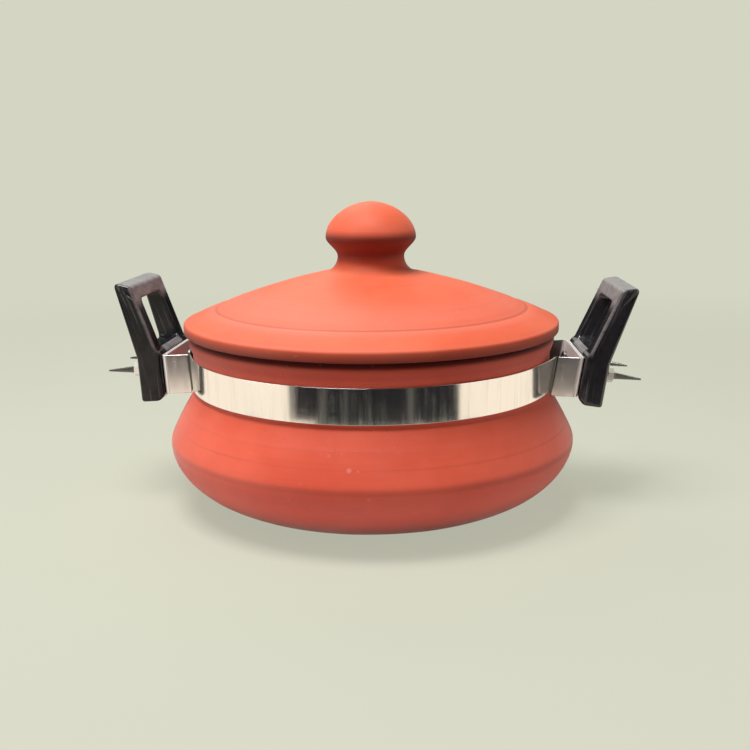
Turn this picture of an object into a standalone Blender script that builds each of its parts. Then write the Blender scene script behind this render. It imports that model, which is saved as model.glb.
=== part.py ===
"""A clay kadai: a turned clay pot and lid, held at the neck by two half bands of steel strip.
The bands' ends bend outwards into an open box bracket on each side, and a moulded loop handle
is bolted to each bracket. Metres, +Z up, the origin under the middle of the base."""

import math

import bmesh
import bpy
from mathutils import Matrix, Vector

# Pot
BASE_RADIUS = 0.057
BELLY_HEIGHT = 0.0372
SHOULDER_RISE = 0.0263
SHOULDER_HOLLOW = 0.0007
NECK_RADIUS = 0.0985
NECK_LENGTH = 0.0205
BELLY_OVERHANG = 0.0147
RIM_OVERHANG = 0.0027
RIM_FLARE = 0.0072
RIM_HOLLOW = 0.0003
RIM_ROUND = 0.0038
POT_WALL = 0.0075
POT_FLOOR = 0.009
FLOOR_RADIUS = 0.05

# Lid
LID_OVERHANG = 0.0023
LID_EDGE = 0.0062
LID_EDGE_ROUND = 0.0016
LID_WALL = 0.0068
SKIRT_WIDTH = 0.0165
SKIRT_RISE = 0.0071
SKIRT_BULGE = 0.0003
DOME_RISE = 0.018
DOME_BULGE = 0.0012
FLANGE_PLAY = 0.0028
FLANGE_WALL = 0.0055
FLANGE_DEPTH = 0.008
KNOB_FOOT_RADIUS = 0.0272
KNOB_FOOT_HEIGHT = 0.0088
KNOB_NECK_RADIUS = 0.0185
KNOB_UNDERCUT = 0.0105
KNOB_RADIUS = 0.025
KNOB_CROWN = 0.0192
KNOB_CROWN_POWER = 1.85

# Half bands, and the brackets that their ends make. The front half is a little longer, so the
# brackets swing back from the X axis, and they lean out as they were bent by hand.
BAND_WIDTH = 0.018
BAND_THICKNESS = 0.0008
BAND_BELOW_NECK_TOP = 0.0008
TAB_WIDTH = 0.0215
TAB_BEND = 0.0014
TAB_SETBACK = 0.0006
BRACKET_DEPTH = 0.0119
BRACKET_SWING = math.radians(1.8)
RIGHT_LEAN = math.radians(8.1)
LEFT_LEAN = math.radians(3.5)
LIFT_SPAN = math.radians(22)

# Handles
HANDLE_WIDTH = 0.056
HANDLE_DROP = 0.0041
BLOCK_HEIGHT = 0.0288
BLOCK_THICKNESS = 0.0136
BLOCK_BACK_TOP = 0.0024
BLOCK_TOE = 0.0036
GRIP_HEIGHT = 0.0354
GRIP_LEAN = 0.0088
GRIP_BEND_DROP = 0.0045
GRIP_TOP_THICKNESS = 0.0096
GRIP_TOP_RISE = 0.0027
LEG_WIDTH = 0.0105
TOP_BAR = 0.0078
WINDOW_ROUND = 0.003
WINDOW_EDGE_ROUND = 0.0011
HANDLE_ROUND = 0.0023

# Bolts, washers and nuts
BOLT_RADIUS = 0.002
BOLT_INSET = 0.01
BOLT_BELOW_BAND_TOP = 0.0088
BOLT_HEAD_RADIUS = 0.0038
BOLT_HEAD_CROWN = 0.0015
BOLT_HEAD_EDGE = 0.001
BOLT_END = 0.0156
BOLT_TIP_RADIUS = 0.0006
WASHER_RADIUS = 0.0045
WASHER_THICKNESS = 0.0008
NUT_ACROSS_FLATS = 0.007
NUT_THICKNESS = 0.0032
NUT_FACE_SHARE = 0.97
NUT_CHAMFER_SLOPE = 0.5

# Fits and mesh fineness
CLEARANCE = 0.0003
MERGE = 0.000001
TURN_STEPS = 60
BOLT_STEPS = 16
NUT_STEPS = 24
CORNER_STEPS = 4
LIFT_STEPS = 6
NECK_STEPS = 26
SHARP_ANGLE = math.radians(28)

# Heights and seats that follow from the sizes above
BELLY_RADIUS = NECK_RADIUS + BELLY_OVERHANG
NECK_FOOT_Z = BELLY_HEIGHT + SHOULDER_RISE
NECK_TOP_Z = NECK_FOOT_Z + NECK_LENGTH
RIM_RADIUS = NECK_RADIUS + RIM_OVERHANG
RIM_TOP_Z = NECK_TOP_Z + RIM_FLARE + RIM_ROUND
MOUTH_RADIUS = NECK_RADIUS - POT_WALL
LID_RADIUS = RIM_RADIUS + LID_OVERHANG
LID_SEAT_Z = RIM_TOP_Z + CLEARANCE
BAND_TOP_Z = NECK_TOP_Z - BAND_BELOW_NECK_TOP
BAND_INNER_RADIUS = NECK_RADIUS + CLEARANCE
BAND_MIDDLE_RADIUS = BAND_INNER_RADIUS + BAND_THICKNESS / 2
TAB_FOOT_Z = BAND_TOP_Z - TAB_WIDTH
TAB_Y = HANDLE_WIDTH / 2 - TAB_SETBACK - BAND_THICKNESS / 2
FLANGE_FOOT_X = BAND_INNER_RADIUS + BAND_THICKNESS + BRACKET_DEPTH
BOLT_RISE = TAB_WIDTH - BOLT_BELOW_BAND_TOP
BOLT_Y = HANDLE_WIDTH / 2 - BOLT_INSET
BORE_RADIUS = BOLT_RADIUS + CLEARANCE

# Each bracket's turn about Z and its lean
SIDES = {
    "right": (BRACKET_SWING, RIGHT_LEAN),
    "left": (math.pi - BRACKET_SWING, LEFT_LEAN),
}


def clear_scene():
    for obj in list(bpy.data.objects):
        bpy.data.objects.remove(obj, do_unlink=True)


def make_material(name, colour, roughness, metallic):
    material = bpy.data.materials.new(name)
    material.use_nodes = True
    shader = material.node_tree.nodes["Principled BSDF"]
    shader.inputs["Base Color"].default_value = (*colour, 1.0)
    shader.inputs["Roughness"].default_value = roughness
    shader.inputs["Metallic"].default_value = metallic
    return material


def add_object(name, bm, parent=None):
    """Makes an object of that name from a finished bmesh."""
    bmesh.ops.recalc_face_normals(bm, faces=bm.faces)
    mesh = bpy.data.meshes.new(name)
    bm.to_mesh(mesh)
    bm.free()
    obj = bpy.data.objects.new(name, mesh)
    bpy.context.collection.objects.link(obj)
    obj.parent = parent
    return obj


def add_piece(name, bm, material, parent=None):
    """A visible piece, smooth except at its sharp edges."""
    piece = add_object(name, bm, parent)
    piece.data.materials.append(material)
    piece.data.shade_smooth()
    piece.data.set_sharp_from_angle(angle=SHARP_ANGLE)
    return piece


def add_cutter(name, bm, parent):
    cutter = add_object(name, bm, parent)
    cutter.hide_render = True
    cutter.display_type = "WIRE"
    return cutter


def cut(piece, cutter):
    modifier = piece.modifiers.new(cutter.name, "BOOLEAN")
    modifier.operation = "DIFFERENCE"
    modifier.solver = "EXACT"
    modifier.object = cutter


def round_edges(piece, name, width, least_angle):
    """Rounds the edges that turn by more than least_angle, in degrees."""
    modifier = piece.modifiers.new(name, "BEVEL")
    modifier.width = width
    modifier.segments = CORNER_STEPS
    modifier.limit_method = "ANGLE"
    modifier.angle_limit = math.radians(least_angle)
    modifier.use_clamp_overlap = False


def ellipse(centre, semi_axes, start, end, steps):
    """Points along an ellipse's arc, from one angle in degrees to another."""
    points = []
    for step in range(steps + 1):
        angle = math.radians(start + (end - start) * step / steps)
        across = centre[0] + semi_axes[0] * math.cos(angle)
        points.append((across, centre[1] + semi_axes[1] * math.sin(angle)))
    return points


def bulged(start, end, bulge, steps):
    """Points from start to end along a shallow parabola that stands bulge off the chord,
    to the left of the way it runs."""
    start, end = Vector(start), Vector(end)
    chord = end - start
    left = Vector((-chord.y, chord.x)).normalized()
    points = []
    for step in range(steps + 1):
        share = step / steps
        point = start + chord * share + left * bulge * 4 * share * (1 - share)
        points.append(tuple(point))
    return points


def turn(outline, steps, closed=False, along=Vector((0, 0, 1)), across=Vector((1, 0, 0))):
    """The outline turned all the way round an axis. Its points are (radius, place along it)."""
    bm = bmesh.new()
    verts = [bm.verts.new(across * radius + along * place) for radius, place in outline]
    edges = [bm.edges.new(pair) for pair in zip(verts, verts[1:])]
    if closed:
        edges.append(bm.edges.new((verts[-1], verts[0])))
    bmesh.ops.spin(
        bm, geom=verts + edges, cent=(0, 0, 0), axis=along, angle=math.tau, steps=steps
    )
    bmesh.ops.remove_doubles(bm, verts=bm.verts, dist=MERGE)
    return bm


def turn_outwards(outline, closed=False):
    """A small part turned round the X axis."""
    return turn(outline, BOLT_STEPS, closed, Vector((1, 0, 0)), Vector((0, 0, 1)))


def loft(sections, closed=False):
    """Faces through sections of equal length, capped at both ends or closed into a ring."""
    bm = bmesh.new()
    rings = [[bm.verts.new(point) for point in section] for section in sections]
    pairs = list(zip(rings, rings[1:]))
    if closed:
        pairs.append((rings[-1], rings[0]))
    else:
        bm.faces.new(reversed(rings[0]))
        bm.faces.new(rings[-1])
    for here, there in pairs:
        for i in range(len(here)):
            j = (i + 1) % len(here)
            bm.faces.new((here[i], here[j], there[j], there[i]))
    return bm


def pot_outline():
    """From the middle of the base, up the outside, over the rim and down inside to the floor."""
    belly = (BELLY_RADIUS, BELLY_HEIGHT)
    neck_foot = (NECK_RADIUS, NECK_FOOT_Z)
    underside_axes = (BELLY_RADIUS - BASE_RADIUS, BELLY_HEIGHT)
    underside = ellipse((BASE_RADIUS, BELLY_HEIGHT), underside_axes, -90, 0, 10)
    shoulder = bulged(belly, neck_foot, -SHOULDER_HOLLOW, 4)
    rim_side_z = NECK_TOP_Z + RIM_FLARE
    flare = bulged((NECK_RADIUS, NECK_TOP_Z), (RIM_RADIUS, rim_side_z), -RIM_HOLLOW, 3)
    crown_radius = RIM_RADIUS - RIM_ROUND
    outer_lip = ellipse((crown_radius, rim_side_z), (RIM_ROUND, RIM_ROUND), 0, 90, 4)
    inner_axes = (crown_radius - MOUTH_RADIUS, RIM_ROUND)
    inner_lip = ellipse((crown_radius, rim_side_z), inner_axes, 90, 180, 3)
    inside_belly = (BELLY_RADIUS - POT_WALL, BELLY_HEIGHT)
    inside_shoulder = bulged((MOUTH_RADIUS, NECK_FOOT_Z), inside_belly, SHOULDER_HOLLOW, 2)
    bowl_axes = (inside_belly[0] - FLOOR_RADIUS, BELLY_HEIGHT - POT_FLOOR)
    bowl = ellipse((FLOOR_RADIUS, BELLY_HEIGHT), bowl_axes, 0, -90, 8)
    outside = [(0, 0)] + underside + shoulder[1:] + flare + outer_lip[1:]
    return outside + inner_lip[1:] + inside_shoulder + bowl[1:] + [(0, POT_FLOOR)]


def knob_outline(foot_z):
    """From the top of the knob down to its foot on the dome."""
    neck_z = foot_z + KNOB_FOOT_HEIGHT
    wide_z = neck_z + KNOB_UNDERCUT
    crown_steps = 8
    crown = []
    for step in range(crown_steps):
        share = math.cos(math.pi / 2 * step / crown_steps)
        across = (1 - share**KNOB_CROWN_POWER) ** (1 / KNOB_CROWN_POWER)
        crown.append((KNOB_RADIUS * across, wide_z + KNOB_CROWN * share))
    undercut_steps = 5
    undercut = []
    for step in range(undercut_steps + 1):
        share = step / undercut_steps
        swing = 0.5 + 0.5 * math.cos(math.pi * share)
        across = KNOB_NECK_RADIUS + (KNOB_RADIUS - KNOB_NECK_RADIUS) * swing
        undercut.append((across, wide_z - KNOB_UNDERCUT * share))
    foot_axes = (KNOB_FOOT_RADIUS - KNOB_NECK_RADIUS, KNOB_FOOT_HEIGHT)
    foot = ellipse((KNOB_FOOT_RADIUS, neck_z), foot_axes, 180, 262, 4)
    return crown + undercut + foot[1:]


def lid_outline():
    """From the top of the knob, down the outside, under the edge and up inside the hollow."""
    edge_z = LID_SEAT_Z + LID_EDGE
    edge_radius = LID_RADIUS - LID_EDGE_ROUND
    ring = (edge_radius - SKIRT_WIDTH, edge_z + SKIRT_RISE)
    dome_top = (KNOB_FOOT_RADIUS, ring[1] + DOME_RISE)
    dome = bulged(dome_top, ring, DOME_BULGE, 6)
    skirt = bulged(ring, (edge_radius, edge_z), SKIRT_BULGE, 2)
    edge_axes = (LID_EDGE_ROUND, LID_EDGE_ROUND)
    upper_edge = ellipse((edge_radius, edge_z - LID_EDGE_ROUND), edge_axes, 90, 0, 3)
    lower_edge = ellipse((edge_radius, LID_SEAT_Z + LID_EDGE_ROUND), edge_axes, 0, -90, 3)
    flange_radius = MOUTH_RADIUS - FLANGE_PLAY
    inner_radius = flange_radius - FLANGE_WALL
    flange_z = LID_SEAT_Z - FLANGE_DEPTH
    flange = [(flange_radius, LID_SEAT_Z), (flange_radius, flange_z), (inner_radius, flange_z)]
    hollow = [(inner_radius, ring[1] - LID_WALL)]
    for radius, height in reversed(dome):
        if radius < inner_radius - LID_WALL:
            hollow.append((radius, height - LID_WALL))
    outside = knob_outline(dome_top[1]) + dome[1:] + skirt[1:] + upper_edge[1:] + lower_edge
    return outside + flange + hollow + [(0, hollow[-1][1])]


def rounded_corner(before, corner, after):
    """Points along the bend of a strip where its path turns."""
    to_before = (before - corner).normalized()
    to_after = (after - corner).normalized()
    half_angle = to_before.angle(to_after) / 2
    centre = corner + (to_before + to_after).normalized() * TAB_BEND / math.sin(half_angle)
    first = corner + to_before * TAB_BEND / math.tan(half_angle) - centre
    turns_left = to_before.x * to_after.y < to_before.y * to_after.x
    sweep = (math.pi - 2 * half_angle) * (1 if turns_left else -1)
    points = []
    for step in range(CORNER_STEPS + 1):
        points.append(centre + Matrix.Rotation(sweep * step / CORNER_STEPS, 2) @ first)
    return points


def tab_path(side_name, hand, layer):
    """One end of a half band, from its flange's free end to where it lies close on the neck. hand
    is the side of its tab in the bracket's frame, -1 or 1. layer 0 has its flange against the
    handle, and layer 1 just inside that. Each point goes with the way it leans out for each
    metre of height, and with how far it is into the wider tab, from 0 to 1."""
    turned, lean = SIDES[side_name]
    flange_x = FLANGE_FOOT_X - BAND_THICKNESS / 2 - (BAND_THICKNESS + CLEARANCE) * layer
    other_tab_room = BAND_THICKNESS + 2 * TAB_BEND
    flange_end = Vector((flange_x, hand * (other_tab_room - TAB_Y)))
    tab_corner = Vector((flange_x, hand * TAB_Y))
    tab_angle = math.atan2(TAB_Y, flange_x)
    outwards = Vector((math.cos(tab_angle), hand * math.sin(tab_angle)))
    root = outwards * BAND_MIDDLE_RADIUS
    round_neck = Vector((-outwards.y, outwards.x)) * hand
    points = [flange_end]
    points += rounded_corner(flange_end, tab_corner, root)
    points += rounded_corner(tab_corner, root, root + round_neck)
    start = tab_angle + 2 * TAB_BEND / BAND_MIDDLE_RADIUS
    for step in range(LIFT_STEPS + 1):
        angle = start + (tab_angle + LIFT_SPAN - start) * step / LIFT_STEPS
        points.append(Vector((math.cos(angle), hand * math.sin(angle))) * BAND_MIDDLE_RADIUS)
    swing = Matrix.Rotation(turned, 2)
    stretch = []
    for point in points:
        past_tab = (math.atan2(abs(point.y), point.x) - tab_angle) / LIFT_SPAN
        lifted = min(max(1 - past_tab, 0), 1)
        lifted = lifted * lifted * (3 - 2 * lifted)
        lean_out = swing @ Vector((math.tan(lean) * lifted, 0))
        in_tab = (point.length - BAND_MIDDLE_RADIUS) / TAB_BEND
        stretch.append((swing @ point, lean_out, min(max(in_tab, 0), 1)))
    return stretch


def neck_path(first, last, hand):
    """The stretch of a half band that lies on the neck, between two points on its middle line."""
    start = math.atan2(first.y, first.x)
    sweep = (math.atan2(last.y, last.x) - start) * hand % math.tau * hand
    stretch = []
    for step in range(1, NECK_STEPS):
        angle = start + sweep * step / NECK_STEPS
        point = Vector((math.cos(angle), math.sin(angle))) * BAND_MIDDLE_RADIUS
        stretch.append((point, Vector((0, 0)), 0))
    return stretch


def build_half_band(name, hand, layer, steel, cutters):
    right = tab_path("right", hand, layer)
    left = tab_path("left", -hand, layer)
    path = right + neck_path(right[-1][0], left[-1][0], hand) + left[::-1]
    sections = []
    for i, (point, lean_out, in_tab) in enumerate(path):
        before = path[max(i - 1, 0)][0]
        after = path[min(i + 1, len(path) - 1)][0]
        along = (after - before).normalized()
        half_thick = Vector((-along.y, along.x)) * BAND_THICKNESS / 2
        low = BAND_TOP_Z - BAND_WIDTH - (TAB_WIDTH - BAND_WIDTH) * in_tab
        section = []
        for height, face in ((low, 1), (low, -1), (BAND_TOP_Z, -1), (BAND_TOP_Z, 1)):
            plan = point + half_thick * face + lean_out * (height - TAB_FOOT_Z)
            section.append((plan.x, plan.y, height))
        sections.append(section)
    band = add_piece(name, loft(sections), steel)
    for cutter in cutters:
        cut(band, cutter)


def add_bracket_frame(side_name):
    """An empty at the foot of a bracket's outer face. Its X points out through the handle, and
    its Z runs up the leaning face."""
    turned, lean = SIDES[side_name]
    frame = bpy.data.objects.new(side_name + "_bracket", None)
    bpy.context.collection.objects.link(frame)
    outwards = Vector((math.cos(turned), math.sin(turned)))
    frame.location = (FLANGE_FOOT_X * outwards.x, FLANGE_FOOT_X * outwards.y, TAB_FOOT_Z)
    frame.rotation_euler = (0, lean, turned)
    return frame


def add_bores(frame, side_name):
    """A rod through the bracket and handle for each of the side's two bolts."""
    ends = (-BRACKET_DEPTH / 2, BLOCK_THICKNESS + BRACKET_DEPTH / 2)
    outline = [(0, ends[0]), (BORE_RADIUS, ends[0]), (BORE_RADIUS, ends[1]), (0, ends[1])]
    cutters = []
    for end_name, bolt_y in bolt_ends(side_name):
        name = "bore_" + side_name + "_" + end_name
        cutter = add_cutter(name, turn_outwards(outline), frame)
        cutter.location = (0, bolt_y, BOLT_RISE)
        cutters.append(cutter)
    return cutters


def bolt_ends(side_name):
    """The front and rear bolt of a side, with its Y in the bracket's frame."""
    front = -BOLT_Y if side_name == "right" else BOLT_Y
    return (("front", front), ("rear", -front))


def handle_profile():
    """The handle's outline in X and Z: a block with a straight back and a chamfered toe, and a
    grip that leans out and thins towards its top. The top face slopes up to its outer edge."""
    top_z = BLOCK_HEIGHT + GRIP_HEIGHT
    outer_top_x = BLOCK_THICKNESS + GRIP_LEAN
    return [
        (0, BLOCK_TOE),
        (0, BLOCK_HEIGHT - BLOCK_BACK_TOP),
        (BLOCK_BACK_TOP, BLOCK_HEIGHT),
        (outer_top_x - GRIP_TOP_THICKNESS, top_z),
        (outer_top_x, top_z + GRIP_TOP_RISE),
        (BLOCK_THICKNESS, BLOCK_HEIGHT - GRIP_BEND_DROP),
        (BLOCK_THICKNESS, 0),
        (BLOCK_TOE, 0),
    ]


def window_bar():
    """A bar along X, with round corners, that opens the grip between its legs."""
    across = HANDLE_WIDTH / 2 - LEG_WIDTH - WINDOW_ROUND
    low = BLOCK_HEIGHT + WINDOW_ROUND
    high = BLOCK_HEIGHT + GRIP_HEIGHT - TOP_BAR - WINDOW_ROUND
    round_axes = (WINDOW_ROUND, WINDOW_ROUND)
    corners = ellipse((across, high), round_axes, 0, 90, CORNER_STEPS)
    corners += ellipse((-across, high), round_axes, 90, 180, CORNER_STEPS)
    corners += ellipse((-across, low), round_axes, 180, 270, CORNER_STEPS)
    corners += ellipse((across, low), round_axes, 270, 360, CORNER_STEPS)
    ends = (-BLOCK_THICKNESS, 2 * BLOCK_THICKNESS + GRIP_LEAN)
    return loft([[(x, y, z) for y, z in corners] for x in ends])


def build_handle(frame, side_name, bakelite, cutters):
    half = HANDLE_WIDTH / 2
    bm = loft([[(x, y, z) for x, z in handle_profile()] for y in (-half, half)])
    handle = add_piece("handle_" + side_name, bm, bakelite, frame)
    handle.location = (CLEARANCE, 0, -HANDLE_DROP)
    window = add_cutter("window_" + side_name, window_bar(), frame)
    window.location = handle.location
    round_edges(handle, "block_rounding", HANDLE_ROUND, 35)
    cut(handle, window)
    round_edges(handle, "window_rounding", WINDOW_EDGE_ROUND, 50)
    for cutter in cutters:
        cut(handle, cutter)


def bolt_outline(grip):
    """From the crown of the head to the tip. grip is the length from the head to the nut's end,
    past which the bolt tapers like a spike."""
    head_axes = (BOLT_HEAD_RADIUS, BOLT_HEAD_CROWN)
    crown = ellipse((0, -BOLT_HEAD_EDGE), head_axes, -90, 0, 4)
    shank = [(BOLT_HEAD_RADIUS, 0), (BOLT_RADIUS, 0), (BOLT_RADIUS, grip)]
    end = grip + BOLT_END
    return crown + shank + [(BOLT_TIP_RADIUS, end - BOLT_TIP_RADIUS), (0, end)]


def nut_rings():
    """A hexagon with a round bore and chamfered corners, as one ring for each of its edges."""
    flat = NUT_ACROSS_FLATS / 2
    face = flat * NUT_FACE_SHARE
    rings = [[], [], [], [], [], []]
    for step in range(NUT_STEPS):
        angle = math.tau * step / NUT_STEPS
        from_flat = (angle + math.pi / 6) % (math.pi / 3) - math.pi / 6
        corner = flat / math.cos(from_flat)
        drop = (corner - face) * NUT_CHAMFER_SLOPE
        profile = (
            (face, NUT_THICKNESS),
            (corner, NUT_THICKNESS - drop),
            (corner, drop),
            (face, 0),
            (BORE_RADIUS, 0),
            (BORE_RADIUS, NUT_THICKNESS),
        )
        for ring, (radius, along) in zip(rings, profile):
            ring.append((along, radius * math.cos(angle), radius * math.sin(angle)))
    return rings


def build_fasteners(frame, side_name, steel, nut_steel):
    """Bolts from inside the bracket through both flanges and the handle, to washers and nuts."""
    head_x = -2 * (BAND_THICKNESS + CLEARANCE)
    washer_x = BLOCK_THICKNESS + 2 * CLEARANCE
    nut_x = washer_x + WASHER_THICKNESS + CLEARANCE
    grip = nut_x + NUT_THICKNESS - head_x
    washer = [
        (BORE_RADIUS, 0),
        (WASHER_RADIUS, 0),
        (WASHER_RADIUS, WASHER_THICKNESS),
        (BORE_RADIUS, WASHER_THICKNESS),
    ]
    for end_name, bolt_y in bolt_ends(side_name):
        place = side_name + "_" + end_name
        bolt = add_piece("bolt_" + place, turn_outwards(bolt_outline(grip)), steel, frame)
        bolt.location = (head_x, bolt_y, BOLT_RISE)
        ring = add_piece("washer_" + place, turn_outwards(washer, True), nut_steel, frame)
        ring.location = (washer_x, bolt_y, BOLT_RISE)
        nut = add_piece("nut_" + place, loft(nut_rings(), closed=True), nut_steel, frame)
        nut.location = (nut_x, bolt_y, BOLT_RISE)


def main():
    clear_scene()
    pot_clay = make_material("pot_clay", (0.55, 0.10, 0.055), 0.75, 0.0)
    lid_clay = make_material("lid_clay", (0.72, 0.13, 0.055), 0.7, 0.0)
    band_steel = make_material("band_steel", (0.78, 0.76, 0.73), 0.15, 1.0)
    bolt_steel = make_material("bolt_steel", (0.25, 0.24, 0.24), 0.4, 1.0)
    nut_steel = make_material("nut_steel", (0.7, 0.7, 0.7), 0.3, 1.0)
    bakelite = make_material("bakelite", (0.012, 0.011, 0.014), 0.22, 0.0)

    add_piece("pot_body", turn(pot_outline(), TURN_STEPS), pot_clay)
    add_piece("lid", turn(lid_outline(), TURN_STEPS), lid_clay)

    bores = []
    for side_name in SIDES:
        frame = add_bracket_frame(side_name)
        side_bores = add_bores(frame, side_name)
        build_handle(frame, side_name, bakelite, side_bores)
        build_fasteners(frame, side_name, bolt_steel, nut_steel)
        bores += side_bores
    build_half_band("band_front", -1, 0, band_steel, bores)
    build_half_band("band_rear", 1, 1, band_steel, bores)


main()
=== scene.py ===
# Looks of the clay kadai: turned clay, polished strip, moulded handles and their bolts
import math

import bpy
from mathutils import Matrix, Vector


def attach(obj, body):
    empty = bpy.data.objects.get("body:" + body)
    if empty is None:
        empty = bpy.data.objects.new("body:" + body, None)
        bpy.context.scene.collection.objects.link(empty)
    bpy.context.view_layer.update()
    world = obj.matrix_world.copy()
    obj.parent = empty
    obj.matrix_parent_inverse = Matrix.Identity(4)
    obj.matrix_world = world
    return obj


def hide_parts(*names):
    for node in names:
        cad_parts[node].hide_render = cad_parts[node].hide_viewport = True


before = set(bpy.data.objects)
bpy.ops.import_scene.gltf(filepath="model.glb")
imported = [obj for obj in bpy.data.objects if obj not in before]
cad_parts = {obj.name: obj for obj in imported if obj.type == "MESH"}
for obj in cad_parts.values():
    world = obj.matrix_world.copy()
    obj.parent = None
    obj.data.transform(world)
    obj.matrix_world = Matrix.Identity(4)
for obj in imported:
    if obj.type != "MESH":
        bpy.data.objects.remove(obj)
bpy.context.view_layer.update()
print("frame loaded:", len(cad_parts), "CAD nodes")


# Places that the pieces share

neck = {
    "radius": 0.0985,
    "footZ": 0.0635,
    "topZ": 0.084,
}

bracket = {
    "bandTopZ": 0.0832,
    "tabWidth": 0.0215,
    "footX": 0.1115,                   # outer face of the flange at its foot
    "handleWidth": 0.056,
    "tabSetback": 0.0006,
    "swing": math.radians(1.8),        # both brackets sit a little behind the middle line
    "lean": {"right": math.radians(8.1), "left": math.radians(3.5)},
    "boltRise": 0.0127,
    "boltSpacing": 0.036,
}

gap = 0.0003                           # between pieces that touch
tabFootZ = bracket["bandTopZ"] - bracket["tabWidth"]


def turnOf(side):
    # how far round the pot a bracket stands
    return bracket["swing"] if side == "right" else math.pi - bracket["swing"]


def bracketPlace(side):
    # the frame of a bracket: X out through the handle, Z up its leaning face
    foot = Matrix.Translation((bracket["footX"], 0, tabFootZ))
    return Matrix.Rotation(turnOf(side), 4, "Z") @ foot @ Matrix.Rotation(bracket["lean"][side], 4, "Y")


def boltPlace(side, across, along=0.0):
    # the frame of a bolt, Z along it, with its foot that far out of the bracket's face
    foot = Matrix.Translation((along, across * bracket["boltSpacing"] / 2, bracket["boltRise"]))
    return bracketPlace(side) @ foot @ Matrix.Rotation(math.pi / 2, 4, "Y")


# Small tools for modelling by operator

def deselectAll():
    for obj in bpy.context.selected_objects:
        obj.select_set(False)


def makeActive(piece):
    deselectAll()
    piece.select_set(True)
    bpy.context.view_layer.objects.active = piece


def startPoint(name, place):
    # a plane drawn together into one vertex, ready to be extruded into an outline
    deselectAll()
    bpy.ops.mesh.primitive_plane_add(size=0.01, location=(0, 0, 0))
    piece = bpy.context.object
    piece.name = name
    bpy.ops.object.mode_set(mode="EDIT")
    bpy.ops.mesh.merge(type="CENTER")
    bpy.ops.transform.translate(value=place)
    return piece


def drawOutline(points):
    # extrudes the selected vertex from point to point
    for before, point in zip(points, points[1:]):
        step = Vector(point) - Vector(before)
        bpy.ops.mesh.extrude_region_move(TRANSFORM_OT_translate={"value": step})


def turnPiece(name, outline, steps):
    # an outline of (radius, height) turned round the Z axis
    points = [(radius, 0, height) for radius, height in outline]
    piece = startPoint(name, points[0])
    drawOutline(points)
    bpy.ops.mesh.select_all(action="SELECT")
    bpy.ops.mesh.spin(steps=steps, angle=math.tau, center=(0, 0, 0), axis=(0, 0, 1))
    bpy.ops.mesh.select_all(action="SELECT")
    bpy.ops.mesh.remove_doubles(threshold=0.000005)
    bpy.ops.mesh.normals_make_consistent(inside=False)
    bpy.ops.object.mode_set(mode="OBJECT")
    return piece


def applyModifier(piece, kind, **settings):
    makeActive(piece)
    modifier = piece.modifiers.new(kind.lower(), kind)
    for key, value in settings.items():
        setattr(modifier, key, value)
    bpy.ops.object.modifier_apply(modifier=modifier.name)


def cutOut(piece, cutter):
    applyModifier(piece, "BOOLEAN", operation="DIFFERENCE", object=cutter)
    bpy.data.objects.remove(cutter)


def bake(piece, place):
    # puts a piece's place into its mesh
    piece.data.transform(place)
    piece.location = (0, 0, 0)


def addBlock(*sides):
    # a plain block round the origin, only ever used as a cutter
    deselectAll()
    bpy.ops.mesh.primitive_cube_add(size=1, location=(0, 0, 0))
    block = bpy.context.object
    bake(block, Matrix.Diagonal((*sides, 1)))
    return block


def smoothByAngle(piece, degrees):
    makeActive(piece)
    bpy.ops.object.shade_smooth_by_angle(angle=math.radians(degrees))


def smoothByArea(piece, degrees):
    # flat faces stay flat right up to their rounded edges
    smoothByAngle(piece, degrees)
    applyModifier(piece, "WEIGHTED_NORMAL", keep_sharp=True, weight=100)


# Outlines: round stretches, shallow bows and soft corners

def arc(centre, axes, start, end, steps):
    points = []
    for step in range(steps + 1):
        angle = math.radians(start + (end - start) * step / steps)
        points.append((centre[0] + axes[0] * math.cos(angle), centre[1] + axes[1] * math.sin(angle)))
    return points


def bow(start, end, bulge, steps):
    # stands bulge off the straight line, to the left of its way
    start, end = Vector(start), Vector(end)
    chord = end - start
    left = Vector((-chord.y, chord.x)).normalized()
    points = []
    for step in range(steps + 1):
        share = step / steps
        points.append(tuple(start + chord * share + left * bulge * 4 * share * (1 - share)))
    return points


def roundOff(before, corner, after, reach, steps):
    # a parabola between the points at that reach on either side of the corner
    corner = Vector(corner)
    start = corner + (Vector(before) - corner).normalized() * reach
    end = corner + (Vector(after) - corner).normalized() * reach
    points = []
    for step in range(steps + 1):
        share = step / steps
        middle = corner * 2 * share * (1 - share)
        points.append(tuple(start * (1 - share) ** 2 + middle + end * share * share))
    return points


# Shader maths: a socket that takes part in Python sums

def plug(target, value):
    if isinstance(value, Socket):
        value.tree.links.new(value.out, target)
    elif target.type == "RGBA" and len(value) == 3:
        target.default_value = (*value, 1.0)
    else:
        target.default_value = value


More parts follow.
